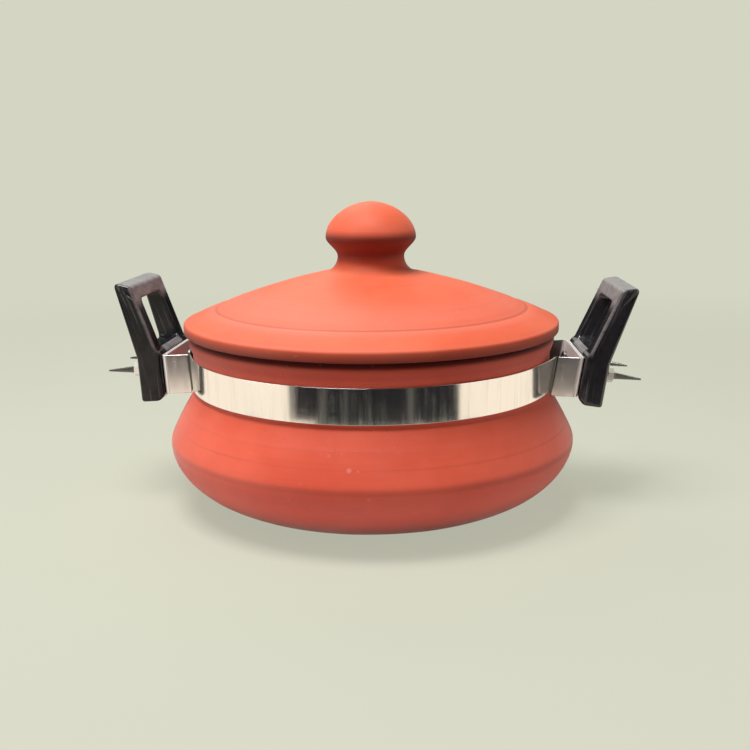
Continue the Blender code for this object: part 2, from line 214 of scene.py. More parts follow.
class Socket:
    def __init__(self, tree, out=None):
        self.tree, self.out = tree, out

    def node(self, kind, settings=None, sockets=None, out=0):
        # adds a node to the same tree and gives one of its outputs
        node = self.tree.nodes.new(kind)
        for key, value in (settings or {}).items():
            setattr(node, key, value)
        for key, value in (sockets or {}).items():
            plug(node.inputs[key], value)
        return Socket(self.tree, node.outputs[out])

    def outputs(self):
        # every output of the node that this one comes from
        return [Socket(self.tree, out) for out in self.out.node.outputs]

    def maths(self, operation, *values):
        return self.node("ShaderNodeMath", {"operation": operation}, dict(enumerate(values)))

    def __add__(self, other):
        return self.maths("ADD", self, other)

    def __sub__(self, other):
        return self.maths("SUBTRACT", self, other)

    def __rsub__(self, other):
        return self.maths("SUBTRACT", other, self)

    def __mul__(self, other):
        return self.maths("MULTIPLY", self, other)

    def __abs__(self):
        return self.maths("ABSOLUTE", self)

    __radd__ = __add__
    __rmul__ = __mul__

    def power(self, exponent):
        return self.maths("POWER", self, exponent)

    def orMore(self, other):
        return self.maths("MAXIMUM", self, other)

    def orLess(self, other):
        return self.maths("MINIMUM", self, other)

    def ramp(self, low, high, toLow=0.0, toHigh=1.0):
        # runs smoothly from toLow to toHigh while the socket goes from low to high
        settings = {"interpolation_type": "SMOOTHSTEP"}
        return self.node("ShaderNodeMapRange", settings, {0: self, 1: low, 2: high, 3: toLow, 4: toHigh})


def between(value, low, high, soft):
    # 1 from low to high, fading out over soft on either side
    return value.ramp(low - soft, low) * value.ramp(high + soft, high)


def blendColours(mask, low, high):
    return mask.node("ShaderNodeMix", {"data_type": "RGBA"}, {0: mask, 6: low, 7: high}, 2)


def noiseAt(place, scale, detail, roughness=0.5):
    sockets = {"Vector": place, "Scale": scale, "Detail": detail, "Roughness": roughness}
    return place.node("ShaderNodeTexNoise", None, sockets)


def patchesAt(place, scale, detail, roughness, *ends):
    # noise with its middle stretched out into patches
    return noiseAt(place, scale, detail, roughness).ramp(*ends)


def splitPlace(place):
    return place.node("ShaderNodeSeparateXYZ", None, {0: place}).outputs()


def stretched(place, scale):
    return place.node("ShaderNodeVectorMath", {"operation": "MULTIPLY"}, {0: place, 1: scale})


def bumpFrom(height, strength, distance, under=None):
    sockets = {"Strength": strength, "Distance": distance, "Height": height}
    if under:
        sockets["Normal"] = under
    return height.node("ShaderNodeBump", None, sockets)


def startMaterial(name, constants):
    # a Principled material with its even values on the shader's own sockets
    material = bpy.data.materials.new(name)
    material.use_nodes = True
    shader = material.node_tree.nodes["Principled BSDF"]
    for key, value in constants.items():
        plug(shader.inputs[key], value)
    place = Socket(material.node_tree).node("ShaderNodeTexCoord", out="Object")
    return material, shader, place


def setMaterial(piece, material):
    piece.data.materials.clear()
    piece.data.materials.append(material)


# Camera, as the photo was taken: from a little above, turned slightly to the left handle

camera = {
    "place": (0.0018, -0.560, 0.191),
    "turn": math.radians(3.8),
    "pitch": math.radians(77.6),
    "roll": math.radians(-0.4),
    "lens": 48.67,
    "sensor": 36,
    "nearest": 0.01,
}


def addCamera():
    data = bpy.data.cameras.new("camera")
    data.lens = camera["lens"]
    data.sensor_width = camera["sensor"]
    data.clip_start = camera["nearest"]
    holder = bpy.data.objects.new("camera", data)
    bpy.context.scene.collection.objects.link(holder)
    tilt = Matrix.Rotation(camera["pitch"], 4, "X") @ Matrix.Rotation(camera["roll"], 4, "Z")
    turned = Matrix.Rotation(camera["turn"], 4, "Z")
    holder.matrix_world = turned @ Matrix.Translation(camera["place"]) @ tilt
    bpy.context.scene.camera = holder


addCamera()
print("camera set")


# Clay. Noise is given by its scale, detail and roughness, and then by the ends of its ramp.

clay = {
    "bloomAndSheen": (0.82, 0.28, 0.235),      # pale dusty skin, also the colour of the painted sheen
    "speck": (0.92, 0.50, 0.40),
    "dark": (0.17, 0.022, 0.013),
    "shine": 0.26,
    "sheenRoughness": 0.4,
    "roughness": 0.46,
    "patches": (17.0, 4.0, 0.55, 0.36, 0.66),
    "clouds": (52.0, 3.0, 0.5, 0.35, 0.7),
    "dust": (30.0, 5.0, 0.62, 0.46, 0.78),
    "rings": (420.0, 3.0, 0.62),
    "ringShade": (0.52, 0.8, 0.0, 0.16),
    "broadRings": (95.0, 2.0),
    "broadRingBloom": (0.5, 0.78, 0.0, 0.12),
    "ringWander": (9.0, 2.0),
    "wanderReach": 0.004,
    "grainScale": 520.0,
    "grainChoice": (240.0, 1.0),
    "paleGrain": {"size": (0.16, 0.08), "choice": (0.62, 0.7)},
    "burntGrain": {"size": (0.13, 0.07), "choice": (0.37, 0.31)},
    "grit": (1500.0, 5.0, 0.6),
    "nickEdge": (1400.0, 2.0),
    "nickWander": 0.0009,
    "relief": 0.28,
    "reliefDepth": 0.0004,
    "unevenScale": 0.045,              # the slow unevenness of turning by hand
    "smoothAngle": 40,
}


def chipMask(place, chips):
    # small pale nicks, each given by its place on the surface and its radius
    ragged = noiseAt(place, *clay["nickEdge"]) * clay["nickWander"]
    mask = None
    for spot, radius in chips:
        away = place.node("ShaderNodeVectorMath", {"operation": "DISTANCE"}, {0: place, 1: spot}, 1)
        nick = (away + ragged).ramp(radius * 2.0, radius * 0.8)
        mask = nick if mask is None else mask.orMore(nick)
    return mask


def clayMaterial(name, sizes, shadeAndGrime, bloomAndSheen):
    # the two masks say how far painted shade with some grime, and dust with painted sheen, cover the clay
    # at a height and a radius
    constants = {
        "Specular IOR Level": clay["shine"],
        "Sheen Weight": sizes["sheen"],
        "Sheen Roughness": clay["sheenRoughness"],
    }
    material, shader, place = startMaterial(name, constants)
    x, y, z = splitPlace(place)
    radius = (x * x + y * y).power(0.5)

    # slow patches from the hand rubbing and the fire
    patches = patchesAt(place, *clay["patches"])
    clouds = patchesAt(place, *clay["clouds"])
    colour = blendColours(patches * 0.65 + clouds * 0.35, sizes["deep"], sizes["bright"])

    # fine rings left by turning, in step with height and radius
    wander = noiseAt(place, *clay["ringWander"]) * clay["wanderReach"]
    ringPlace = place.node("ShaderNodeCombineXYZ", None, {0: radius + wander, 1: z + wander, 2: 0.0})
    rings = noiseAt(ringPlace, *clay["rings"])
    broadRings = noiseAt(ringPlace, *clay["broadRings"])
    colour = blendColours(rings.ramp(*clay["ringShade"]), colour, clay["dark"])
    colour = blendColours(broadRings.ramp(*clay["broadRingBloom"]), colour, clay["bloomAndSheen"])

    # dusty bloom with painted sheen, and over it painted shade with some grime
    dust = patchesAt(place, *clay["dust"])
    colour = blendColours(dust * 0.1 + bloomAndSheen(z, radius), colour, clay["bloomAndSheen"])
    colour = blendColours(shadeAndGrime(z, radius), colour, clay["dark"])

    # grit: pale grains, burnt grains and a few nicks
    grains = place.node("ShaderNodeTexVoronoi", None, {"Vector": place, "Scale": clay["grainScale"]})
    chosen = noiseAt(place, *clay["grainChoice"])
    pale, burnt = [
        grains.ramp(*clay[kind]["size"]) * chosen.ramp(*clay[kind]["choice"])
        for kind in ("paleGrain", "burntGrain")
    ]
    nicks = chipMask(place, sizes["chips"])
    colour = blendColours(pale * 0.5, colour, clay["speck"])
    colour = blendColours(burnt * 0.55, colour, clay["dark"])
    colour = blendColours(nicks * 0.3, colour, clay["speck"])

    rough = clay["roughness"] + clouds * 0.1 + rings * 0.08 + dust * 0.1 + nicks * 0.2
    grit = noiseAt(place, *clay["grit"])
    relief = rings * 0.55 + grit * 0.3 + broadRings * 0.9 - (burnt + pale * 0.4 + nicks) * 0.8
    plug(shader.inputs["Base Color"], colour)
    plug(shader.inputs["Roughness"], rough)
    plug(shader.inputs["Normal"], bumpFrom(relief, clay["relief"], clay["reliefDepth"]))
    return material


# Pot

pot = {
    "bright": (0.90, 0.145, 0.076),
    "deep": (0.80, 0.11, 0.056),
    "sheen": 0.25,
    "baseRadius": 0.057,
    "baseRings": (0.0, 0.02, 0.04),    # radii of the points across the flat base
    "bellyRadius": 0.1132,
    "bellyZ": 0.0372,
    "shoulderHollow": 0.0007,
    "rimRadius": 0.1012,
    "rimSideZ": 0.0912,
    "rimHollow": 0.0003,
    "rimRound": 0.0038,
    "wall": 0.0075,
    "floor": 0.009,
    "floorRadius": 0.05,
    "floorRing": 0.025,
    "footEdge": 0.0016,
    "keelRound": 0.0026,               # how far the keel's rounding reaches each way
    "wobble": 0.0005,
    "steps": 168,
    "chips": (
        ((-0.0035, -0.1087, 0.0462), 0.0011),
        ((0.0010, -0.1089, 0.0458), 0.0006),
        ((0.0061, -0.1127, 0.0332), 0.0008),
    ),
    # ramps of the painted shade, the darker foot and the painted sheen: from and to, and then the share at
    # either end
    "lipShade": (0.0003, 0.0023, 0.0, 0.69),    # over the rim's side: painted shade under the lid
    "rimShade": (-0.001, 0.004, 0.0, 0.38),     # painted shade over the top of the neck, under the rim
    "keelShadeLine": (-0.002, -0.001, 0.0022),       # painted shade line under the belly's widest place
    "keelShadeShare": 0.2,
    "darkFoot": (0.026, 0.0, 0.0, 0.8),             # darker towards the ground
    "sheenTop": (0.001, -0.009),                # painted sheen of the pale floor, under the belly's widest place
    "sheenFoot": (0.002, 0.018, 0.0, 0.24),     # over the ground
}


def potOutline():
    belly = (pot["bellyRadius"], pot["bellyZ"])
    footAxes = (belly[0] - pot["baseRadius"], belly[1])
    under = arc((pot["baseRadius"], belly[1]), footAxes, -88, 0, steps=34)
    shoulder = bow(belly, (neck["radius"], neck["footZ"]), -pot["shoulderHollow"], steps=14)
    keel = roundOff(under[-4], belly, shoulder[2], pot["keelRound"], steps=8)
    under = [point for point in under if point[1] < keel[0][1]]
    shoulder = [point for point in shoulder if point[1] > keel[-1][1]]
    rimFoot = (neck["radius"], neck["topZ"])
    flare = bow(rimFoot, (pot["rimRadius"], pot["rimSideZ"]), -pot["rimHollow"], steps=6)
    crown = (pot["rimRadius"] - pot["rimRound"], pot["rimSideZ"])
    outerLip = arc(crown, (pot["rimRound"], pot["rimRound"]), 0, 90, steps=9)
    mouth = neck["radius"] - pot["wall"]
    innerLip = arc(crown, (crown[0] - mouth, pot["rimRound"]), 90, 180, steps=9)
    insideBelly = (belly[0] - pot["wall"], belly[1])
    inside = bow((mouth, neck["footZ"]), insideBelly, pot["shoulderHollow"], steps=8)
    bowlAxes = (insideBelly[0] - pot["floorRadius"], belly[1] - pot["floor"])
    bowl = arc((pot["floorRadius"], belly[1]), bowlAxes, 0, -90, steps=22)
    base = [(radius, 0) for radius in (*pot["baseRings"], pot["baseRadius"] - pot["footEdge"])]
    floor = [(pot["floorRing"], pot["floor"]), (0, pot["floor"])]
    outside = base + under + keel + shoulder + flare[1:] + outerLip[1:]
    return outside + innerLip[1:] + inside + bowl[1:] + floor


# painted shade on the rim, the neck and along the keel, and a foot darker towards the ground
def potShadeAndDarkFoot(z, radius):
    lip = (z - pot["rimSideZ"]).ramp(*pot["lipShade"])
    rim = (z - neck["topZ"]).ramp(*pot["rimShade"])
    # a painted shade line where the belly turns under
    keel = between(z - pot["bellyZ"], *pot["keelShadeLine"]) * pot["keelShadeShare"]
    return lip + rim + keel + z.ramp(*pot["darkFoot"])


def potSheen(z, radius):
    # painted sheen: the underside is paler, as if the pale floor showed in it
    return (z - pot["bellyZ"]).ramp(*pot["sheenTop"]) * z.ramp(*pot["sheenFoot"])


# Lid, in one piece with its knob

lid = {
    "bright": (0.87, 0.164, 0.076),
    "deep": (0.79, 0.12, 0.048),
    "sheen": 0.07,
    "seatZ": 0.0953,
    "radius": 0.1035,
    "edge": 0.0062,
    "edgeRound": 0.0016,
    "wall": 0.0068,
    "skirtWidth": 0.0165,
    "skirtRise": 0.0071,
    "skirtBulge": 0.0003,
    "domeRise": 0.018,
    "domeBulge": 0.0012,
    "groove": 0.0007,                  # the worn line where skirt and dome meet
    "grooveRound": 0.0016,
    "flangeRadius": 0.0882,
    "flangeWall": 0.0055,
    "flangeDepth": 0.008,
    "flangeRound": 0.0012,
    "hollowCorner": (0.003, 0.004),    # how far it cuts off the hollow's upper corner
    "knobFoot": (0.0272, 0.0088),
    "knobNeck": 0.0185,
    "knobUndercut": 0.0105,
    "knobRadius": 0.025,
    "knobCrown": 0.0192,
    "crownPower": 1.85,
    "crownSteps": 24,
    "undercutSteps": 14,
    "wobble": 0.0004,
    "steps": 168,
    "chips": (
        ((-0.0905, -0.0462, 0.0989), 0.0010),
        ((0.0300, 0.0700, 0.1180), 0.0008),
    ),
    # ramps of the painted shade, the grime and the painted sheen, as the pot's
    "knobShadeOut": (0.034, 0.026),               # across the knob's foot
    "knobShadeFoot": (-0.0049, 0.0021),           # over the knob's neck
    "knobShadeTop": (0.0151, 0.0101, 0.0, 0.94),  # over the knob's neck
    "edgeIn": (-0.0085, -0.0045),               # in from the edge
    "edgeShade": (0.0079, 0.0009, 0.0, 0.78),   # painted shade, over the seat
    "seatShade": (0.0015, 0.0002, 0.0, 0.2),    # painted shade at the seam, over the seat
    "grooveShadeLine": (-0.0003, 0.0004, 0.0009),    # painted shade line, either side of the groove
    "grooveShadeShare": 0.32,
    "sheenIn": (0.056, 0.074),                  # out from the middle
    "sheenOut": (0.096, 0.087, 0.0, 0.16),      # out from the middle
}

skirtRadius = lid["radius"] - lid["edgeRound"]
ringRadius = skirtRadius - lid["skirtWidth"]
ringZ = lid["seatZ"] + lid["edge"] + lid["skirtRise"]
knobNeckZ = ringZ + lid["domeRise"] + lid["knobFoot"][1]


def knobOutline():
    wideZ = knobNeckZ + lid["knobUndercut"]
    points = []
    for step in range(lid["crownSteps"]):
        share = math.cos(math.pi / 2 * step / lid["crownSteps"])
        across = (1 - share ** lid["crownPower"]) ** (1 / lid["crownPower"])
        points.append((lid["knobRadius"] * across, wideZ + lid["knobCrown"] * share))
    for step in range(lid["undercutSteps"] + 1):
        share = step / lid["undercutSteps"]
        swing = 0.5 + 0.5 * math.cos(math.pi * share)
        across = lid["knobNeck"] + (lid["knobRadius"] - lid["knobNeck"]) * swing
        points.append((across, wideZ - lid["knobUndercut"] * share))
    footAxes = (lid["knobFoot"][0] - lid["knobNeck"], lid["knobFoot"][1])
    return points + arc((lid["knobFoot"][0], knobNeckZ), footAxes, 180, 262, steps=12)[1:]


def lidOutline():
    edgeZ = lid["seatZ"] + lid["edge"]
    domeTop, ring = (lid["knobFoot"][0], ringZ + lid["domeRise"]), (ringRadius, ringZ)
    dome = bow(domeTop, ring, lid["domeBulge"], steps=26)
    skirt = bow(ring, (skirtRadius, edgeZ), lid["skirtBulge"], steps=8)
    grooveFoot = (ringRadius, ringZ - lid["groove"])
    groove = roundOff(dome[-3], grooveFoot, skirt[2], lid["grooveRound"], steps=6)
    edgeAxes = (lid["edgeRound"], lid["edgeRound"])
    upperEdge = arc((skirtRadius, edgeZ - lid["edgeRound"]), edgeAxes, 90, 0, steps=7)
    lowerEdge = arc((skirtRadius, lid["seatZ"] + lid["edgeRound"]), edgeAxes, 0, -90, steps=7)
    outer, inner = lid["flangeRadius"], lid["flangeRadius"] - lid["flangeWall"]
    soft = lid["flangeRound"]
    softZ = lid["seatZ"] - lid["flangeDepth"] + soft
    flange = [(outer + soft, lid["seatZ"]), (outer, lid["seatZ"] - soft)]
    flange += arc((outer - soft, softZ), (soft, soft), 0, -90, steps=5)
    flange += arc((inner + soft, softZ), (soft, soft), -90, -180, steps=5)
    cornerIn, cornerDown = lid["hollowCorner"]
    hollowZ = ringZ - lid["wall"]
    hollow = [(inner, hollowZ - cornerDown), (inner - cornerIn, hollowZ)]
    hollow += [(radius, z - lid["wall"]) for radius, z in reversed(dome) if radius < inner - lid["wall"]]
    outside = knobOutline() + dome[1:-2] + groove + skirt[2:] + upperEdge[1:] + lowerEdge
    return outside + flange + hollow + [(0, hollow[-1][1])]


def lidShadeAndGrime(z, radius):
    # painted shade, with some finger grime, darkens the knob's neck and the hollow under its crown
    overNeck = z - knobNeckZ
    knobShadeAndGrime = overNeck.ramp(*lid["knobShadeFoot"]) * overNeck.ramp(*lid["knobShadeTop"])
    # the lid's lower edge darkens down to the seat: painted shade over the seam
    overSeat = z - lid["seatZ"]
    edge = overSeat.ramp(*lid["edgeShade"]) + overSeat.ramp(*lid["seatShade"])
    # a painted shade line in the groove between skirt and dome
    groove = between(radius - ringRadius, *lid["grooveShadeLine"]) * lid["grooveShadeShare"]
    knobShadeAndGrime = knobShadeAndGrime * radius.ramp(*lid["knobShadeOut"])
    return knobShadeAndGrime + edge * (radius - lid["radius"]).ramp(*lid["edgeIn"]) + groove


def lidSheen(z, radius):
    # painted sheen: the skirt and the foot of the dome are paler
    return radius.ramp(*lid["sheenIn"]) * radius.ramp(*lid["sheenOut"])


def buildClay():
    byHand = bpy.data.textures.new("byHand", "CLOUDS")
    byHand.noise_scale = clay["unevenScale"]
    byHand.noise_depth = 2
    parts = (
        ("pot", potOutline(), pot, clayMaterial("potClay", pot, potShadeAndDarkFoot, potSheen), "pot_body", "pot"),
        ("lidAndKnob", lidOutline(), lid, clayMaterial("lidClay", lid, lidShadeAndGrime, lidSheen), "lid", "lid"),
    )
    for name, outline, sizes, material, node, body in parts:
        piece = turnPiece(name, outline, sizes["steps"])
        applyModifier(piece, "DISPLACE", texture=byHand, strength=sizes["wobble"], mid_level=1.0)
        setMaterial(piece, material)
        smoothByAngle(piece, clay["smoothAngle"])
        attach(piece, body)
        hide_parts(node)
        "pot_clay" if node == "pot_body" else "lid_clay"
        print("turned", name, len(piece.data.polygons), "faces")


buildClay()


# Steel, with its noise given as the clay's

steel = {
    "band": {"colour": (0.82, 0.80, 0.765), "gloss": 0.1, "smudge": 0.1},
    "bolt": {"colour": (0.20, 0.19, 0.185), "gloss": 0.3, "smudge": 0.15},
    "nut": {"colour": (0.78, 0.77, 0.76), "gloss": 0.24, "smudge": 0.12},
    "stained": 0.62,                   # how much of the colour a smear or a spot leaves
    # colour of the painted shade in the strip's bends and behind its rear tabs
    "paintedShade": (0.035, 0.026, 0.022),
    "lineStretch": (14.0, 14.0, 2600.0),
    "lines": (1.0, 3.0, 0.6),
    "fineStretch": (60.0, 60.0, 9000.0),
    "fineLines": (1.0, 2.0, 0.6),
    "smearStretch": (1.0, 1.0, 0.07),
    "smears": (300.0, 4.0, 0.65, 0.45, 0.75),
    "prints": (110.0, 4.0, 0.6, 0.54, 0.78),
    "spots": (900.0, 2.0, 0.5, 0.68, 0.76),
    "waves": (28.0, 1.0),
    "waveRelief": 0.05,
    "waveDepth": 0.0012,
    "lineRelief": 0.035,
    "lineDepth": 0.0001,
}

band = {
    "width": 0.018,
    "thickness": 0.0008,
    "bend": 0.0014,
    "liftSpan": math.radians(13),
    "edgeRound": 0.00026,
    "edgeAngle": math.radians(50),
    "rows": 6,
    "neckSteps": 110,
    "liftSteps": 20,
    "tabSteps": 6,
    "flangeSteps": 12,
    "cornerSteps": 7,
    "boreRadius": 0.0023,
    "boreSteps": 32,
    "boreDepth": 0.012,
    "smoothAngle": 40,
    "leanSwap": (-0.01, 0.01),         # between the brackets, where one lean gives way to the other
    # wear of the bent ends, and the painted shade in their bends
    "rootX": 0.0966,                   # where a tab leaves the neck, before it leans out
    "rootShade": (0, 0.001, 0.0004),   # painted shade, out from the root
    "tabStart": (0.001, 0.002),        # out from the root
    "flangeStart": (-0.003, -0.0019),  # out from the flange's outer face
    "shadeEnd": (-0.003, -0.0044),     # out from the flange's outer face
    "shadeBack": (0.0, 0.01),          # back from the middle line
    "insideSoft": 0.0003,
    "tabDull": 0.06,                   # added roughness
    "flangeDull": 0.2,
    "tabGrey": 0.2,                    # how far the metal is hidden by a dull skin
    "flangeGrey": 0.85,
}

bandMiddle = neck["radius"] + gap + band["thickness"] / 2
tabY = bracket["handleWidth"] / 2 - bracket["tabSetback"] - band["thickness"] / 2


def alongBracket(place):
    # how far out a point of the strip lies, as if its bracket stood upright and unturned
    x, y, z = splitPlace(place)
    leans = [math.tan(bracket["lean"][side]) for side in ("left", "right")]
    lean = x.ramp(*band["leanSwap"], *leans)
    return abs(x) - lean * (z - tabFootZ) + y * math.tan(bracket["swing"])


def insideBracket(place, out):
    # 1 on the faces of tabs and flanges that look into the bracket, 0 on their outer faces
    x, y = splitPlace(place)[:2]
    tabAngle = math.atan2(tabY, bracket["footX"] - band["thickness"] / 2)
    skew = abs(y - abs(x) * math.tan(bracket["swing"]))
    offset = skew * math.cos(tabAngle) - out * math.sin(tabAngle)
    return offset.ramp(band["insideSoft"], 0.0)


def wearEnds(shader, place, colour, rough):
    # the bent ends have lost their polish; painted shade darkens the bends at the neck and the rear tabs'
    # inner faces
    out = alongBracket(place)
    pastRoot, toFace = out - band["rootX"], out - bracket["footX"]
    tab = pastRoot.ramp(*band["tabStart"])
    inside = tab * insideBracket(place, out)
    grey = tab * band["tabGrey"] + inside * (band["flangeGrey"] - band["tabGrey"])
    plug(shader.inputs["Metallic"], 1 - grey)
    behind = splitPlace(place)[1].ramp(*band["shadeBack"])
    shade = inside * toFace.ramp(*band["shadeEnd"]) * behind
    paintedShade = between(pastRoot, *band["rootShade"]).orMore(shade) * 0.9
    rough = rough + tab * band["tabDull"] + toFace.ramp(*band["flangeStart"]) * band["flangeDull"]
    return blendColours(paintedShade, colour, steel["paintedShade"]), rough


def steelMaterial(name, kind, worn=False):
    material, shader, place = startMaterial(name, {"Metallic": 1.0})
    colour, smudge = steel[kind]["colour"], steel[kind]["smudge"]
    # polishing lines run the way the strip was rolled
    lines = noiseAt(stretched(place, steel["lineStretch"]), *steel["lines"])
    fine = noiseAt(stretched(place, steel["fineStretch"]), *steel["fineLines"])
    smears = patchesAt(stretched(place, steel["smearStretch"]), *steel["smears"])
    prints = patchesAt(place, *steel["prints"])
    spots = patchesAt(place, *steel["spots"])
    stained = tuple(part * steel["stained"] for part in colour)
    colour = blendColours(smears * 0.25 + spots * 0.3, colour, stained)
    rough = steel[kind]["gloss"] + smears * smudge + prints * smudge * 0.5 + lines * 0.05
    if worn:
        colour, rough = wearEnds(shader, place, colour, rough)
    plug(shader.inputs["Base Color"], colour)
    plug(shader.inputs["Roughness"], rough)
    waves = noiseAt(place, *steel["waves"]) * 0.5
    scratches = bumpFrom(lines * 0.6 + fine * 0.4, steel["lineRelief"], steel["lineDepth"])
    plug(shader.inputs["Normal"], bumpFrom(waves, steel["waveRelief"], steel["waveDepth"], scratches))
    return material


# Strip band, bent from one outline seen from above

def softCorner(before, corner, after):
    # points along a bend of the strip
    toBefore = (before - corner).normalized()
    toAfter = (after - corner).normalized()
    halfAngle = toBefore.angle(toAfter) / 2
    centre = corner + (toBefore + toAfter).normalized() * band["bend"] / math.sin(halfAngle)
    first = corner + toBefore * band["bend"] / math.tan(halfAngle) - centre
    turnsLeft = toBefore.x * toAfter.y < toBefore.y * toAfter.x
    sweep = (math.pi - 2 * halfAngle) * (1 if turnsLeft else -1)
    steps = band["cornerSteps"]
    return [centre + Matrix.Rotation(sweep * step / steps, 2) @ first for step in range(steps + 1)]


def straight(start, end, steps):
    return [start.lerp(end, step / steps) for step in range(steps)]


def tabPath(side, hand, layer):
    # one end of a half band: flange, bend, tab, bend and the stretch that settles on the neck
    flangeX = bracket["footX"] - band["thickness"] / 2 - (band["thickness"] + gap) * layer
    flangeEnd = Vector((flangeX, hand * (band["thickness"] + 2 * band["bend"] - tabY)))
    tabCorner = Vector((flangeX, hand * tabY))
    tabAngle = math.atan2(tabY, flangeX)
    outwards = Vector((math.cos(tabAngle), hand * math.sin(tabAngle)))
    root = outwards * bandMiddle
    roundNeck = Vector((-outwards.y, outwards.x)) * hand
    flangeBend = softCorner(flangeEnd, tabCorner, root)
    rootBend = softCorner(tabCorner, root, root + roundNeck)
    points = straight(flangeEnd, flangeBend[0], band["flangeSteps"]) + flangeBend
    points += straight(flangeBend[-1], rootBend[0], band["tabSteps"])[1:] + rootBend
    start = tabAngle + 2 * band["bend"] / bandMiddle
    for step in range(1, band["liftSteps"] + 1):
        angle = start + (tabAngle + band["liftSpan"] - start) * step / band["liftSteps"]
        points.append(Vector((math.cos(angle), hand * math.sin(angle))) * bandMiddle)
    swing = Matrix.Rotation(turnOf(side), 2)
    stretch = []
    for point in points:
        pastTab = (math.atan2(abs(point.y), point.x) - tabAngle) / band["liftSpan"]
        lifted = min(max(1 - pastTab, 0), 1)
        lifted = lifted * lifted * (3 - 2 * lifted)
        leanOut = swing @ Vector((math.tan(bracket["lean"][side]) * lifted, 0))
        inTab = min(max((point.length - bandMiddle) / band["bend"], 0), 1)
        stretch.append((swing @ point, leanOut, inTab))
    return stretch


def bandPath(hand, layer):
    # points of a half band, each with the way that it leans out and its share of the tab's width
    right = tabPath("right", hand, layer)
    left = tabPath("left", -hand, layer)
    first, last = right[-1][0], left[-1][0]
    start = math.atan2(first.y, first.x)
    sweep = (math.atan2(last.y, last.x) - start) * hand % math.tau * hand
    onNeck = []
    for step in range(1, band["neckSteps"]):
        angle = start + sweep * step / band["neckSteps"]
        point = Vector((math.cos(angle), math.sin(angle))) * bandMiddle
        onNeck.append((point, Vector((0, 0)), 0))
    return right + onNeck + left[::-1]


def boreCutter(side, across):
    deselectAll()
    bpy.ops.mesh.primitive_cylinder_add(
        vertices=band["boreSteps"], radius=band["boreRadius"], depth=band["boreDepth"])
    cutter = bpy.context.object
    bake(cutter, boltPlace(side, across))
    return cutter


def buildBand(name, node, hand, layer, material):
    path = bandPath(hand, layer)
    deselectAll()
    bpy.ops.mesh.primitive_grid_add(x_subdivisions=len(path) - 1, y_subdivisions=band["rows"], size=1)
    piece = bpy.context.object
    piece.name = name
    for vertex in piece.data.vertices:
        point, leanOut, inTab = path[round((vertex.co.x + 0.5) * (len(path) - 1))]
        share = vertex.co.y + 0.5
        low = bracket["bandTopZ"] - band["width"] - (bracket["tabWidth"] - band["width"]) * inTab
        height = low + (bracket["bandTopZ"] - low) * share
        plan = point + leanOut * (height - tabFootZ)
        vertex.co = (plan.x, plan.y, height)
    applyModifier(piece, "SOLIDIFY", thickness=band["thickness"], offset=0.0, use_even_offset=True)
    cutters = [boreCutter(side, across) for side in ("right", "left") for across in (-1, 1)]
    for cutter in cutters:
        cutOut(piece, cutter)
    applyModifier(
        piece, "BEVEL", width=band["edgeRound"], segments=3, limit_method="ANGLE",
        angle_limit=band["edgeAngle"], use_clamp_overlap=False,
    )
    setMaterial(piece, material)
    smoothByArea(piece, band["smoothAngle"])
    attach(piece, "pot")
    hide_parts(node)
    print("bent", name, len(piece.data.polygons), "faces")


bandSteel = steelMaterial("bandSteel", "band", worn=True)
buildBand("frontStrip", "band_front", -1, 0, bandSteel)
buildBand("rearStrip", "band_rear", 1, 1, bandSteel)


# Moulded handles, with their noise given as the clay's

handle = {
    "width": bracket["handleWidth"],
    "drop": 0.0041,
    "blockHeight": 0.0288,
    "blockThickness": 0.0136,
    "backTop": 0.0024,
    "toe": 0.0036,
    "gripHeight": 0.0354,
    "gripLean": 0.0088,
    "bendDrop": 0.0045,
    "topThickness": 0.0096,
    "topRise": 0.0027,
    "topCorner": 0.0042,               # reach of the rounding of the grip's outer corner
    "legWidth": 0.0105,
    "topBar": 0.0078,
    "windowRound": 0.003,
    "windowEdge": 0.0011,
    "windowSteps": 8,
    "windowAngle": math.radians(50),
    "cutterLength": 0.06,
    "edgeRound": 0.0016,
    "edgeAngle": math.radians(35),
    "edgeSteps": 5,
    "smoothAngle": 32,
}

moulding = {
    # one black moulding, made darker and less shiny on the left to even out how the lamps fall: painted
    # shade on the left handle, painted light on the right
    "blackShadedPerSide": {"left": 0.007, "right": 0.016},
    "shine": {"left": 0.5, "right": 1.0},
    "deepTint": (1.0, 1.0, 1.2),
    "swirlTint": (2.0, 1.9, 2.2),
    "dustColour": (0.10, 0.095, 0.095),
    "scuffAndHighlightColour": (0.28, 0.26, 0.265),
    "roughness": 0.13,
    "coat": 0.4,
    "coatRoughness": 0.06,
    "swirl": (60.0, 4.0, 0.6, 0.35, 0.7),
    "dust": (420.0, 5.0, 0.7, 0.58, 0.8),
    "rubbed": (95.0, 3.0, 0.55, 0.46, 0.72),
    "peel": (340.0, 2.0),
    "relief": 0.06,
    "reliefDepth": 0.0003,
}

scuffAndHighlightMasks = {                             # ramps in metres, each with its place
    "face": (0.0022, 0.001),           # in from the grip's inner face
    "faceFoot": (-0.006, 0.002),       # over the foot of the top bar
    "top": (-0.0022, -0.0004),         # over the grip's top
    "sides": (-0.0004, -0.0022),       # out from the sides
    "ledge": (0.0036, 0.0026),         # out from the back
    "ledgeHeight": (0.0262, 0.0292, 0.0006),
    "ledgeSides": (0.0185, 0.013),     # out from the middle line
    "corner": (0.0019, 0.0011),        # in from the legs' inner edges
    "cornerFoot": (-0.004, 0.002),     # over the block
    "cornerShare": 0.65,
    "patches": (260.0, 4.0, 0.7, 0.3, 0.62, 0.45, 1.0),
    "lines": (620.0, 3.0, 0.6, 0.54, 0.74, 0.0, 0.34),
    "lineStretch": 0.04,
}


def handlePlace(side):
    return bracketPlace(side) @ Matrix.Translation((gap, 0, -handle["drop"]))


